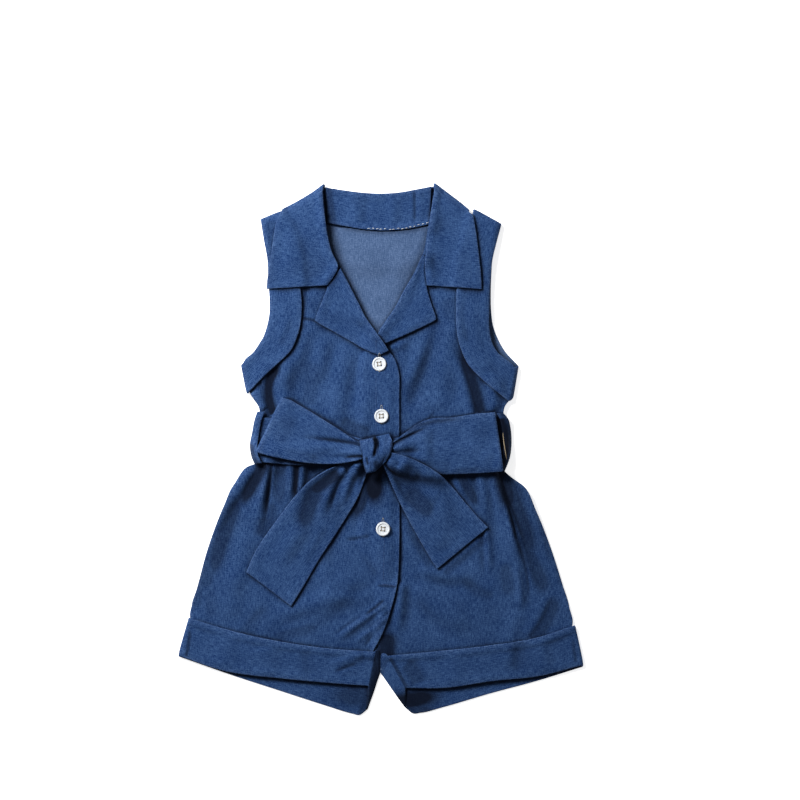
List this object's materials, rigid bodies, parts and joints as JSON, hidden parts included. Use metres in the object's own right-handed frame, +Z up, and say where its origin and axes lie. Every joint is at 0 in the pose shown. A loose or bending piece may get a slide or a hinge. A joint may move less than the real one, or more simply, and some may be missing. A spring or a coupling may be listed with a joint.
{
  "type": "baby romper",
  "caption": "Sleeveless toddler romper in light denim with a notched collar, tie belt with a bow and cuffed short legs, buttoned and laid flat on its back.",
  "frame": {"origin": "middle of the laid-out romper's outline, on the surface that it lies on", "axes": "+X to the wearer's left, +Y from the hems to the collar, +Z up from the surface, out of the garment's front"},
  "size_m": [0.3414, 0.4478, 0.0242],
  "materials": {
    "denim": "light indigo denim with a fine woven fleck",
    "denim_inside": "paler wrong side of the same denim",
    "button": "white pearl"
  },
  "bodies": {
    "root": {"bodice_back": "denim_inside", "bodice_front_left": "denim", "bodice_front_right": "denim", "collar_stand": "denim", "collar": "denim", "lapel_left": "denim", "lapel_right": "denim", "armhole_cuff_right": "denim", "armhole_cuff_left": "denim", "shorts_back_right": "denim_inside", "shorts_back_left": "denim_inside", "shorts_front_left": "denim", "shorts_front_right": "denim", "leg_cuff_right": "denim", "leg_cuff_left": "denim", "belt": "denim", "belt_loop_right": "denim", "belt_loop_left": "denim", "bow_tail_right": "denim", "bow_loop_right": "denim", "bow_loop_left": "denim", "bow_tail_left": "denim", "bow_knot": "denim", "button_top": "button", "button_middle": "button", "button_bottom": "button"}
  },
  "joints": []
}
